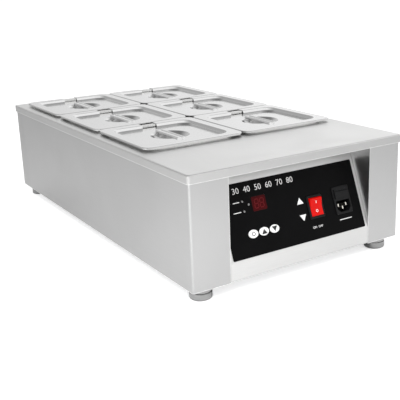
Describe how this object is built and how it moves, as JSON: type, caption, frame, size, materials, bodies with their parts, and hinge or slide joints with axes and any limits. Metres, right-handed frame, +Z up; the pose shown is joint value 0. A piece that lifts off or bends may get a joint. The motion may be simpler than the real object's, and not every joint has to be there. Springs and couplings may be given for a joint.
{
  "type": "chocolate melter",
  "caption": "Countertop chocolate melter: stainless housing with lidded pans hung in a heated well, a front table and a sloped control panel between two columns.",
  "frame": {"origin": "on the ground, under the middle of the deck's outline", "axes": "+Z up, +Y from the controls to the back, +X to the right as seen from the front"},
  "size_m": [0.36, 0.655, 0.18],
  "materials": {
    "black_plastic": "moulded",
    "board_green": "solder mask",
    "brass_pins": "plated brass",
    "button_white": "smooth moulding",
    "element_alloy": "dark heat-treated",
    "fastener_steel": "plated",
    "foot_steel": "turned, polished",
    "fuse_glass": "glass tube",
    "housing_steel": "fine brushed stainless",
    "label_black": "matt film",
    "lamp_lens": "clear resin",
    "lid_steel": "bright stainless",
    "pan_steel": "satin stainless",
    "relay_plastic": "moulded",
    "rocker_red": "clear red moulding",
    "window_red": "tinted, glossy",
    "wool_white": "ceramic fibre mat"
  },
  "bodies": {
    "housing": {"top_deck": "housing_steel", "left_side_panel": "housing_steel", "right_side_panel": "housing_steel", "rear_panel": "housing_steel", "front_console": "housing_steel", "control_label": "label_black", "base_plate": "housing_steel", "well_tank": "housing_steel", "insulation": "wool_white", "heating_element": "element_alloy", "element_supports": "housing_steel", "temperature_probe": "fastener_steel", "safety_cutout": "black_plastic", "display_window": "window_red", "display_module": "black_plastic", "indicator_lamps": "lamp_lens", "control_board": "board_green", "board_posts": "fastener_steel", "button_switches": "black_plastic", "rocker_frame": "black_plastic", "inlet_body": "black_plastic", "inlet_pins": "brass_pins", "foot_nuts": "fastener_steel", "base_screws": "fastener_steel", "power_relay": "relay_plastic", "terminal_block": "relay_plastic", "earth_stud": "brass_pins", "internal_wires": "black_plastic", "foot_front_left": "foot_steel", "foot_front_right": "foot_steel", "foot_rear_left": "foot_steel", "foot_rear_right": "foot_steel"},
    "pan_front_left": {"pan_front_left": "pan_steel"},
    "lid_front_left": {"lid_front_left": "lid_steel", "strap_front_left": "lid_steel"},
    "pan_front_right": {"pan_front_right": "pan_steel"},
    "lid_front_right": {"lid_front_right": "lid_steel", "strap_front_right": "lid_steel"},
    "pan_middle_left": {"pan_middle_left": "pan_steel"},
    "lid_middle_left": {"lid_middle_left": "lid_steel", "strap_middle_left": "lid_steel"},
    "pan_middle_right": {"pan_middle_right": "pan_steel"},
    "lid_middle_right": {"lid_middle_right": "lid_steel", "strap_middle_right": "lid_steel"},
    "pan_rear_left": {"pan_rear_left": "pan_steel"},
    "lid_rear_left": {"lid_rear_left": "lid_steel", "strap_rear_left": "lid_steel"},
    "pan_rear_right": {"pan_rear_right": "pan_steel"},
    "lid_rear_right": {"lid_rear_right": "lid_steel", "strap_rear_right": "lid_steel"},
    "rocker": {"rocker": "rocker_red"},
    "set_button": {"set_button": "button_white"},
    "up_button": {"up_button": "button_white"},
    "down_button": {"down_button": "button_white"},
    "fuse_drawer": {"fuse_drawer": "black_plastic", "fuses": "fuse_glass"}
  },
  "joints": [
    {"name": "pan_lift_front_left", "type": "slide", "parent": "housing", "child": "pan_front_left", "axis": [0, 0, 1], "range_m": [0, 0.125]},
    {"name": "lid_lift_front_left", "type": "slide", "parent": "pan_front_left", "child": "lid_front_left", "axis": [0, 0, 1], "range_m": [0, 0.05]},
    {"name": "pan_lift_front_right", "type": "slide", "parent": "housing", "child": "pan_front_right", "axis": [0, 0, 1], "range_m": [0, 0.125]},
    {"name": "lid_lift_front_right", "type": "slide", "parent": "pan_front_right", "child": "lid_front_right", "axis": [0, 0, 1], "range_m": [0, 0.05]},
    {"name": "pan_lift_middle_left", "type": "slide", "parent": "housing", "child": "pan_middle_left", "axis": [0, 0, 1], "range_m": [0, 0.125]},
    {"name": "lid_lift_middle_left", "type": "slide", "parent": "pan_middle_left", "child": "lid_middle_left", "axis": [0, 0, 1], "range_m": [0, 0.05]},
    {"name": "pan_lift_middle_right", "type": "slide", "parent": "housing", "child": "pan_middle_right", "axis": [0, 0, 1], "range_m": [0, 0.125]},
    {"name": "lid_lift_middle_right", "type": "slide", "parent": "pan_middle_right", "child": "lid_middle_right", "axis": [0, 0, 1], "range_m": [0, 0.05]},
    {"name": "pan_lift_rear_left", "type": "slide", "parent": "housing", "child": "pan_rear_left", "axis": [0, 0, 1], "range_m": [0, 0.125]},
    {"name": "lid_lift_rear_left", "type": "slide", "parent": "pan_rear_left", "child": "lid_rear_left", "axis": [0, 0, 1], "range_m": [0, 0.05]},
    {"name": "pan_lift_rear_right", "type": "slide", "parent": "housing", "child": "pan_rear_right", "axis": [0, 0, 1], "range_m": [0, 0.125]},
    {"name": "lid_lift_rear_right", "type": "slide", "parent": "pan_rear_right", "child": "lid_rear_right", "axis": [0, 0, 1], "range_m": [0, 0.05]},
    {"name": "rocker_tilt", "type": "hinge", "parent": "housing", "child": "rocker", "pos_m": [0.034, -0.30851, 0.08782], "axis": [-1, 0, 0], "range_deg": [0, 18]},
    {"name": "set_button_press", "type": "slide", "parent": "housing", "child": "set_button", "axis": [0, 0.9324, -0.3614], "range_m": [0, 0.0008], "stiffness_N_per_m": 1000},
    {"name": "up_button_press", "type": "slide", "parent": "housing", "child": "up_button", "axis": [0, 0.9324, -0.3614], "range_m": [0, 0.0008], "stiffness_N_per_m": 1000},
    {"name": "down_button_press", "type": "slide", "parent": "housing", "child": "down_button", "axis": [0, 0.9324, -0.3614], "range_m": [0, 0.0008], "stiffness_N_per_m": 1000},
    {"name": "fuse_drawer_slide", "type": "slide", "parent": "housing", "child": "fuse_drawer", "axis": [0, -0.9324, 0.3614], "range_m": [0, 0.016]}
  ]
}
